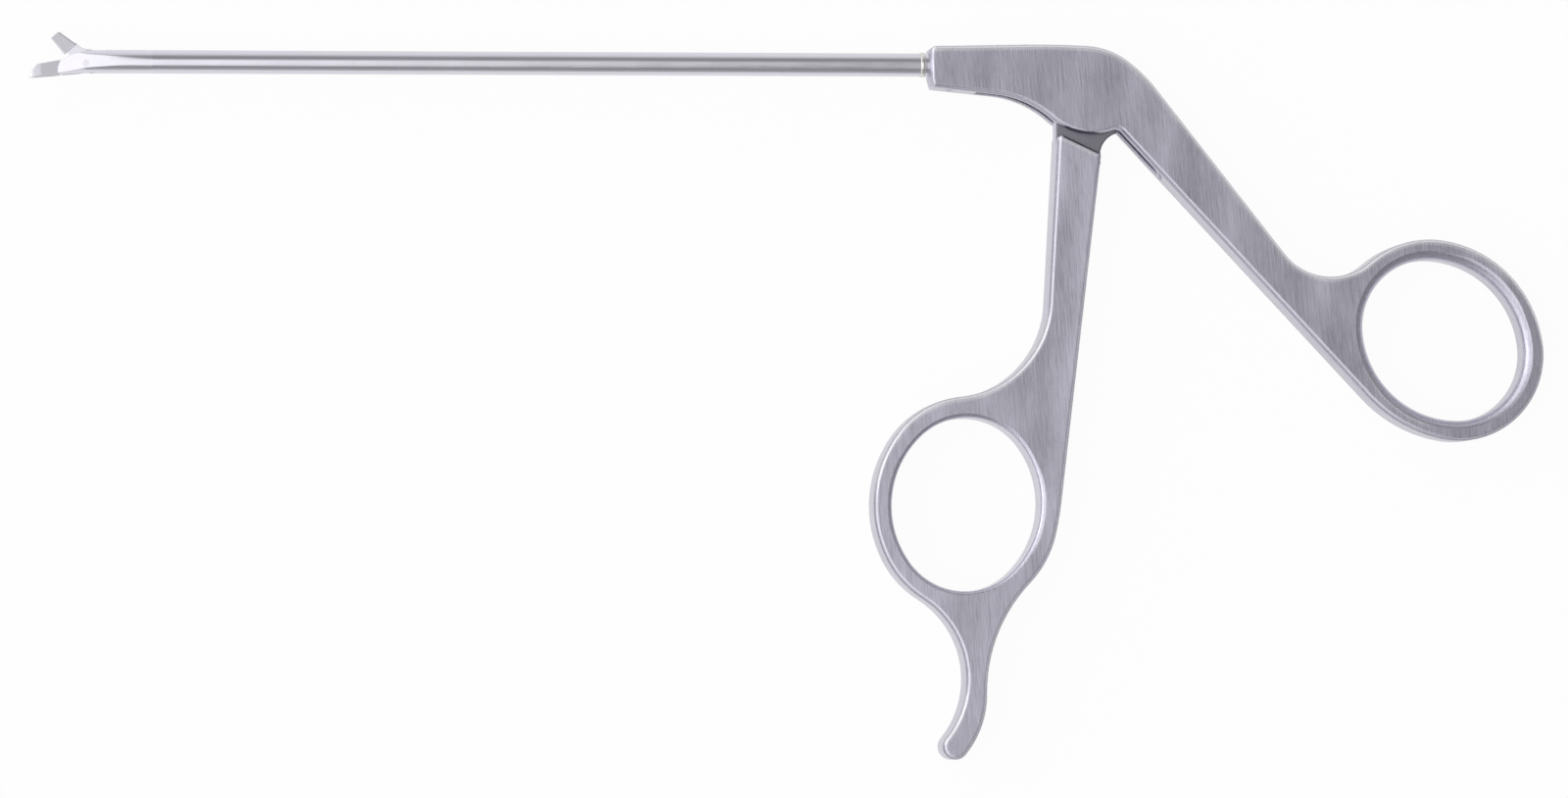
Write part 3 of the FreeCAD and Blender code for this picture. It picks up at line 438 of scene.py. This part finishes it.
def steel(name, light, dark, turn, spacing, length, rough, groove, edge_shine, ease, swell,
          ground=None, shaded=None, flush=None, blended=None, band=0.0):
    """Brushed steel: tone, roughness and relief all follow the brush lines.

    turn is the angle of the lines in degrees, and spacing and length are theirs in metres. rough
    is the middle roughness, groove the lines' depth in metres, and edge_shine how far edges lighten
    with wear and a painted highlight. ease is the radius to which edges are broken, and swell the
    depth of the slow hollows of the grinding, both in metres. ground gives a mask of the places that
    are ground bright after brushing, shaded a mask of recessed places that painted shade darkens and
    that stay rougher as milled, and flush a mask of the places where a pin, a seam or a lining
    carries the surface on, so that no edge is broken there. blended turns the normal where a flat
    was dressed by hand until it runs out into a round. band is how far a painted highlight lightens
    the flat beside the edges that face along +Y.
    """
    material = bpy.data.materials.new(name)
    material.use_nodes = True
    tree = material.node_tree
    shader = tree.nodes["Principled BSDF"]
    shader.inputs["Metallic"].default_value = 1.0
    lines = placed(tree, BRUSHING, Turn=math.radians(turn), Spacing=spacing, Length=length)
    handled = placed(tree, HANDLING, Size=HANDLING_SIZE)
    edge = placed(tree, EDGE_HIGHLIGHT_AND_WEAR, Reach=EDGE_HIGHLIGHT_AND_WEAR_REACH, Strength=EDGE_HIGHLIGHT_AND_WEAR_STRENGTH)
    top_highlight = placed(tree, TOP_EDGE_HIGHLIGHT, Reach=BAND_REACH) if band else None
    if flush is not None:
        open_edge = math_node(tree, "SUBTRACT", 1.0, flush(tree))
        ease = math_node(tree, "MULTIPLY", open_edge, ease)
        fill(tree, edge.inputs["Reach"], math_node(tree, "MULTIPLY", open_edge, EDGE_HIGHLIGHT_AND_WEAR_REACH))
        if band:
            fill(tree, top_highlight.inputs["Reach"], math_node(tree, "MULTIPLY", open_edge, BAND_REACH))

    coarse = math_node(tree, "MULTIPLY", lines.outputs["Lines"], COARSE_SHARE)
    fine = math_node(tree, "MULTIPLY", lines.outputs["Fine Lines"], 1 - COARSE_SHARE)
    strokes = math_node(tree, "ADD", coarse, fine)
    tone = ranged(tree, strokes, STROKES_LOW, STROKES_HIGH)
    clouds = ranged(tree, handled.outputs["Cloud"], 0.3, 0.7, -0.15, 0.15)
    colour = mixed(tree, math_node(tree, "ADD", tone, clouds), dark, light)
    # Edges lighten with wear and a painted highlight
    worn_and_highlit = math_node(tree, "MULTIPLY", edge.outputs["Edge"], edge_shine)
    colour = mixed(tree, worn_and_highlit, colour, WORN_EDGE_AND_HIGHLIGHT)
    # A painted highlight on the flat beside the edges that face along +Y
    if band:
        lighter = math_node(tree, "MULTIPLY", top_highlight.outputs["Band"], band)
        colour = mixed(tree, lighter, colour, WORN_EDGE_AND_HIGHLIGHT)
    roughness = ranged(tree, strokes, STROKES_LOW, STROKES_HIGH, rough - 0.04, rough + 0.05)
    smudged = ranged(tree, handled.outputs["Smudge"], 0.35, 0.65, -0.02, 0.03)
    roughness = math_node(tree, "ADD", roughness, smudged)
    if ground is not None:
        mask = ground(tree)
        colour = mixed(tree, mask, colour, mixed(tree, tone, darker(GROUND, 0.94), GROUND))
        smoother = math_node(tree, "MULTIPLY", mask, GROUND_CHANGE)
        roughness = math_node(tree, "ADD", roughness, smoother)
    # Painted shade in recessed places, which also stay rougher as milled
    if shaded is not None:
        mask = shaded(tree)
        colour = mixed(tree, mask, colour, mixed(tree, tone, darker(SHADED, 0.85), SHADED))
        rougher = math_node(tree, "MULTIPLY", mask, MILLED_CHANGE)
        roughness = math_node(tree, "ADD", roughness, rougher)
    fill(tree, shader.inputs["Base Color"], colour)
    fill(tree, shader.inputs["Roughness"], roughness)

    surface = eased_normal(tree, ease)
    if blended is not None:
        surface = blended(tree, surface)
    hollow = node_of(tree, "ShaderNodeBump", Strength=1.0, Distance=swell)
    fill(tree, hollow.inputs["Height"], placed(tree, WAVINESS, Size=HOLLOW_SIZE).outputs["Swell"])
    fill(tree, hollow.inputs["Normal"], surface)
    relief = node_of(tree, "ShaderNodeBump", Strength=1.0, Distance=groove)
    fill(tree, relief.inputs["Height"], strokes)
    fill(tree, relief.inputs["Normal"], hollow.outputs[0])
    fill(tree, shader.inputs["Normal"], relief.outputs[0])
    return material


# The finishes of the instrument's own pieces

# The fixed handle: satin steel darkened as painted shade, with painted highlights along its edges
HANDLE_STEEL = steel("handle_satin", SHADED_SATIN_LIGHT, SHADED_SATIN_DARK, turn=-5, spacing=0.00013, length=0.007,
                     rough=0.29, groove=0.0000006, edge_shine=0.7, ease=0.0004, swell=0.00035,
                     flush=beside_handle_pin_and_opening, band=0.8)
LEVER_STEEL = steel("lever_satin", SATIN_LIGHT, SATIN_DARK, turn=-4, spacing=0.00013, length=0.007,
                    rough=0.29, groove=0.0000006, edge_shine=0.7, ease=0.0004, swell=0.00035,
                    shaded=tongue, flush=beside_finger_opening, band=0.8)
THUMB_RIM_STEEL = steel("thumb_rim_satin", SHADED_SATIN_LIGHT, SHADED_SATIN_DARK, turn=-5, spacing=0.00016,
                        length=0.004, rough=0.28, groove=0.0000004, edge_shine=0.0, ease=0.00001,
                        swell=0.00005)
FINGER_RIM_STEEL = steel("finger_rim_satin", SATIN_LIGHT, SATIN_DARK, turn=-4, spacing=0.00016,
                         length=0.004, rough=0.26, groove=0.0000004, edge_shine=0.0, ease=0.00001,
                         swell=0.00005)
SHAFT_STEEL = steel("shaft_polish", POLISHED, POLISHED_DARK, turn=90, spacing=0.00012, length=0.02,
                    rough=0.16, groove=0.0000003, edge_shine=0.3, ease=0.0001, swell=0.00003,
                    flush=near_seam)
LOWER_JAW_STEEL = steel("jaw_satin_and_cheeks", BLASTED_LIGHT, BLASTED_DARK, turn=85, spacing=0.00009,
                        length=0.0012, rough=0.36, groove=0.0000006, edge_shine=0.4, ease=0.00008,
                        swell=0.00001, ground=cheeks, flush=beside_jaw_pin_and_seam, blended=run_out)
UPPER_JAW_STEEL = steel("jaw_satin_and_neck", TOOTH_LIGHT, TOOTH_DARK, turn=-40, spacing=0.00009,
                        length=0.0012, rough=0.38, groove=0.0000006, edge_shine=0.4, ease=0.00008,
                        swell=0.00001, ground=jaw_neck)
PIN_STEEL = steel("pin_turned", TOOTH_LIGHT, TURNED_DARK, turn=0, spacing=0.0001, length=0.0002,
                  rough=0.28, groove=0.0000005, edge_shine=0.4, ease=0.00005, swell=0.00001)
BRAZE = steel("braze_bead", BRAZE_PALE, BRAZE_DARK, turn=90, spacing=0.0002, length=0.0004,
              rough=0.24, groove=0.000001, edge_shine=0.3, ease=0.0001, swell=0.00002)

FINISHES = {
    "handle_steel": HANDLE_STEEL,
    "shaft_steel": SHAFT_STEEL,
    "jaw_steel": LOWER_JAW_STEEL,
    "pin_steel": PIN_STEEL,
    "braze": BRAZE,
}

# These pins are ground flush and polished over with the steel around them
POLISHED_OVER = {"jaw_pivot_pin": LOWER_JAW_STEEL, "handle_pivot_pin": HANDLE_STEEL}

for part in frame["record"]["subparts"]:
    carried = frame["nodes"][part["node"]]
    carried.data.materials.clear()
    carried.data.materials.append(POLISHED_OVER.get(part["node"], FINISHES[part["material_slot"]]))


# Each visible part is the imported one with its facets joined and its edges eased

def dressed(node, body, material, crease=50.0):
    """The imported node's own surface, welded, with crisp flat faces and softly shaded curves.

    An edge is kept sharp where it turns by more than crease degrees, and also where a face that
    lies level meets a bevel, so that a bevel catches the light as a thin line beside the flat.
    """
    weld, sliver = 2e-6, 1e-6
    level_crease = min(crease, 20.0)
    mesh = frame["nodes"][node].data.copy()
    mesh.name = f"{node}_finish"
    shell = bmesh.new()
    shell.from_mesh(mesh)
    bmesh.ops.remove_doubles(shell, verts=shell.verts, dist=weld)
    bmesh.ops.dissolve_degenerate(shell, edges=shell.edges, dist=sliver)
    for face in shell.faces:
        face.smooth = True
    for edge in shell.edges:
        turn = math.degrees(edge.calc_face_angle(math.pi))
        level = any(abs(face.normal.z) > 0.9999 for face in edge.link_faces)
        edge.smooth = turn < (level_crease if level else crease)
    shell.to_mesh(mesh)
    shell.free()
    mesh.attributes.remove(mesh.attributes["custom_normal"])
    mesh.materials.clear()
    mesh.materials.append(material)
    piece = bpy.data.objects.new(f"{node}_finish", mesh)
    bpy.context.scene.collection.objects.link(piece)
    weigh = piece.modifiers.new("flat_faces_stay_flat", "WEIGHTED_NORMAL")
    weigh.mode = "FACE_AREA"
    weigh.keep_sharp = True
    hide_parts(node)
    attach(piece, body)


dressed("fixed_handle", "fixed_frame", HANDLE_STEEL)
dressed("moving_handle", "lever", LEVER_STEEL)
dressed("shaft_tube", "fixed_frame", SHAFT_STEEL)
dressed("lower_jaw", "fixed_frame", LOWER_JAW_STEEL, crease=16.0)
dressed("upper_jaw", "jaw", UPPER_JAW_STEEL, crease=16.0)
dressed("braze_ring", "fixed_frame", BRAZE)


# The ring openings' walls, with their rims rounded by hand

def oval(opening, turns):
    """Centres, radii and outward directions round an opening.

    The opening is an oval of four arcs: two end circles of one radius, and two side arcs of a
    larger radius that hold both end circles inside them and touch them. Where the outward
    direction n makes less than the angle b with the line of centres, the point is on an end
    circle, else on the side arc whose centre lies across, and it is centre + radius * n. The
    cosine of b is half the distance of the end circles' centres over the difference of radii.
    """
    high, low = np.array(opening.high), np.array(opening.low)
    line = high - low
    half = np.hypot(*line) / 2
    line = line / (2 * half)
    aside = np.array((-line[1], line[0]))
    excess = opening.side_radius - opening.end_radius
    shift = math.sqrt(excess ** 2 - half ** 2)
    angle = np.linspace(0.0, 2 * np.pi, turns, endpoint=False)
    out = np.stack([np.cos(angle), np.sin(angle)], axis=1)
    ahead = out @ line
    limit = half / excess
    middle = (high + low) / 2
    across = (out @ aside > 0)[:, None]
    side_centre = np.where(across, middle - shift * aside, middle + shift * aside)
    at_high = (ahead >= limit)[:, None]
    at_low = (ahead <= -limit)[:, None]
    centre = np.where(at_high, high, np.where(at_low, low, side_centre))
    reach = np.where(np.abs(ahead) >= limit, opening.end_radius, opening.side_radius)
    return centre, reach, out


def rim_section(rim):
    """The section of a lining: distances into the steel, and heights, from the top to the bottom.

    The rim lies between a quarter round and a plain bevel: from the wall to the face, the distance
    into the steel is the mean of rim * (1 - cos t) and rim * s, and the depth below the face the
    mean of rim * (1 - sin t) and rim * (1 - s), for s from 0 to 1 and t = 90 degrees * s. The
    section stands a little proud of the wall and the faces, three points inside the steel close
    it, and its lower half mirrors the upper one.
    """
    steps = 14
    wide, proud, lift = rim + 0.00002, 0.00003, 0.000002
    s = np.linspace(0.0, 1.0, steps)
    t = np.pi / 2 * s
    into = wide * (0.5 * (1 - np.cos(t)) + 0.5 * s) - proud * (1 - s)
    depth = rim - (rim + lift) * (0.5 * np.sin(t) + 0.5 * s)
    into = np.concatenate([(0.0002, rim * 0.45, wide), into[::-1], (-proud,)])
    depth = np.concatenate([(rim * 1.2, rim * 0.65, 0.00003), depth[::-1], (rim + 0.0001,)])
    return np.concatenate([into, into[::-1]]), np.concatenate([HANDLE_THICKNESS - depth, depth[::-1]])


def ring_lining(name, opening, body, material):
    """The wall of a ring opening with its two rounded rims: its section carried round the oval.

    The point at direction n is centre + (radius + distance into the steel) * n, at the section's
    height, and the last turn joins the first, so the skin is a closed ring.
    """
    turns = 288
    into, heights = rim_section(opening.rim)
    count = len(into)
    centre, reach, out = oval(opening, turns)
    flat = centre[:, None, :] + (reach[:, None] + into)[:, :, None] * out[:, None, :]
    height = np.broadcast_to(heights, flat.shape[:2])
    points = np.concatenate([flat, height[:, :, None]], axis=2).reshape(-1, 3)
    i, j = np.meshgrid(np.arange(turns), np.arange(count), indexing="ij")
    next_i, next_j = (i + 1) % turns, (j + 1) % count
    corners = [i * count + j, next_i * count + j, next_i * count + next_j, i * count + next_j]
    mesh = bpy.data.meshes.new(name)
    mesh.from_pydata(points.tolist(), [], np.stack(corners, axis=2).reshape(-1, 4).tolist())
    shell = bmesh.new()
    shell.from_mesh(mesh)
    bmesh.ops.recalc_face_normals(shell, faces=shell.faces)
    for face in shell.faces:
        face.smooth = True
    shell.to_mesh(mesh)
    shell.free()
    mesh.set_sharp_from_angle(angle=math.radians(50))
    mesh.materials.append(material)
    piece = bpy.data.objects.new(name, mesh)
    bpy.context.scene.collection.objects.link(piece)
    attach(piece, body)


ring_lining("thumb_ring_lining", THUMB_OPENING, "fixed_frame", THUMB_RIM_STEEL)
ring_lining("finger_ring_lining", FINGER_OPENING, "lever", FINGER_RIM_STEEL)


# Studio: white floor and walls of light, and the photograph's lens

def floor_material():
    """White paper that the lens, and the steel's reflections, see as nearly pure white."""
    material = bpy.data.materials.new("white_paper")
    material.use_nodes = True
    tree = material.node_tree
    paper = tree.nodes["Principled BSDF"]
    paper.inputs["Roughness"].default_value = 0.9
    fibre = node_of(tree, "ShaderNodeTexNoise", Scale=40.0, Detail=3.0)
    fill(tree, fibre.inputs["Vector"], own_place(tree))
    colour = mixed(tree, fibre.outputs["Fac"], (0.90, 0.90, 0.90), (0.93, 0.93, 0.93))
    fill(tree, paper.inputs["Base Color"], colour)
    glow = node_of(tree, "ShaderNodeEmission", Strength=1.0)
    rays = tree.nodes.new("ShaderNodeLightPath")
    seen = math_node(tree, "MAXIMUM", rays.outputs["Is Camera Ray"], rays.outputs["Is Glossy Ray"])
    glow_share = 0.95
    blend = tree.nodes.new("ShaderNodeMixShader")
    fill(tree, blend.inputs[0], math_node(tree, "MULTIPLY", seen, glow_share))
    fill(tree, blend.inputs[1], paper.outputs[0])
    fill(tree, blend.inputs[2], glow.outputs[0])
    fill(tree, tree.nodes["Material Output"].inputs["Surface"], blend.outputs[0])
    return material


def make_floor():
    """A wide sheet of paper, just below the instrument."""
    size, gap = 6.0, 0.00005
    corners = [(x * size, y * size, -gap) for x, y in ((-1, -1), (1, -1), (1, 1), (-1, 1))]
    mesh = bpy.data.meshes.new("studio_floor")
    mesh.from_pydata(corners, [], [(0, 1, 2, 3)])
    mesh.materials.append(floor_material())
    floor = bpy.data.objects.new("studio_floor", mesh)
    bpy.context.scene.collection.objects.link(floor)


def wall_light(tree, x, y, z):
    """The light of the walls above the mid level: brightest on the left, and gone high up.

    It reaches higher up ahead, and highest on the left.
    """
    left = ranged(tree, x, -1.0, -0.15, LEFT_LEVEL, SIDE_LEVEL)
    right = ranged(tree, x, 0.15, 0.8, 0.0, RIGHT_LEVEL - SIDE_LEVEL)
    ahead = ranged(tree, y, 0.0, 1.0, 0.0, AHEAD_LEVEL)
    horizon = math_node(tree, "ADD", math_node(tree, "ADD", left, right), ahead)
    higher_ahead = ranged(tree, y, 0.0, 1.0, 0.0, 0.2)
    higher_left = ranged(tree, x, -1.0, 0.0, 0.6, 0.0)
    lift = math_node(tree, "ADD", higher_ahead, higher_left)
    low = ranged(tree, math_node(tree, "SUBTRACT", z, lift), 0.05, 0.5, 1.0, 0.0)
    return math_node(tree, "MULTIPLY", math_node(tree, "SUBTRACT", horizon, MID_LEVEL), low)


def softbox_light(tree, x, y, z):
    """The light of the softbox above the mid level: a patch of the ceiling, by x / z and y / z.

    The box dims towards the right, and there its lower edge steps up from -0.95 to -0.25.
    """
    height = math_node(tree, "MAXIMUM", z, 0.02)
    along = math_node(tree, "DIVIDE", x, height)
    aside = math_node(tree, "DIVIDE", y, height)
    level = ranged(tree, along, 0.035, 0.15, SOFTBOX_LEVEL, RIGHT_BOX_LEVEL)
    lower_edge = ranged(tree, along, 0.105, 0.14, -0.95, -0.25)
    above_lower = ranged(tree, math_node(tree, "SUBTRACT", aside, lower_edge), -0.15, 0.2)
    below_upper = ranged(tree, aside, 0.2, 0.55, 1.0, 0.0)
    right_of_left = ranged(tree, along, -1.2, -0.6)
    inside = math_node(tree, "MULTIPLY", above_lower, below_upper)
    inside = math_node(tree, "MULTIPLY", inside, right_of_left)
    return math_node(tree, "MULTIPLY", math_node(tree, "SUBTRACT", level, MID_LEVEL), inside)


def make_world():
    """The room: a bright left side, a dim band at mid height and a softbox over the jaws."""
    world = bpy.data.worlds.new("studio_room")
    bpy.context.scene.world = world
    world.use_nodes = True
    tree = world.node_tree
    back = tree.nodes["Background"]
    towards = tree.nodes.new("ShaderNodeTexCoord").outputs["Generated"]
    x, y, z = parts_of(tree, towards)
    extra = math_node(tree, "ADD", wall_light(tree, x, y, z), softbox_light(tree, x, y, z))
    level = math_node(tree, "ADD", extra, MID_LEVEL)
    rays = tree.nodes.new("ShaderNodeLightPath")
    shown = math_node(tree, "MAXIMUM", level, rays.outputs["Is Camera Ray"])
    fill(tree, back.inputs["Strength"], shown)
    back.inputs["Color"].default_value = (1.0, 1.0, 1.0, 1.0)


def make_lamp(name, spot, aim, size, watts):
    """A soft rectangular lamp at spot, turned towards aim."""
    lamp = bpy.data.lights.new(name, "AREA")
    lamp.shape = "RECTANGLE"
    lamp.size, lamp.size_y = size
    lamp.energy = watts
    holder = bpy.data.objects.new(name, lamp)
    holder.location = spot
    holder.rotation_euler = (Vector(aim) - Vector(spot)).to_track_quat("-Z", "Y").to_euler()
    bpy.context.scene.collection.objects.link(holder)


def make_camera():
    """The photograph's lens: its X runs across the picture, and its Z towards the lens."""
    across = Vector((math.cos(ROLL), math.sin(ROLL), 0.0))
    across = (across - TOWARDS_LENS * across.dot(TOWARDS_LENS)).normalized()
    upwards = TOWARDS_LENS.cross(across)
    turn = Matrix((across, upwards, TOWARDS_LENS)).transposed().to_4x4()
    lens = bpy.data.cameras.new("photo_lens")
    lens.sensor_width = SENSOR_MM
    lens.lens = LENS_MM
    lens.clip_start = 0.01
    lens.clip_end = 50.0
    camera = bpy.data.objects.new("photo_lens", lens)
    camera.matrix_world = Matrix.Translation(TARGET + TOWARDS_LENS * LENS_DISTANCE) @ turn
    bpy.context.scene.collection.objects.link(camera)
    bpy.context.scene.camera = camera


make_floor()
make_world()
make_lamp("left_softbox", spot=(-1.3, 0.1, 0.3), aim=(-0.05, -0.03, 0.0), size=(0.9, 0.4), watts=1.0)
make_camera()
bpy.context.scene.view_settings.view_transform = "Standard"
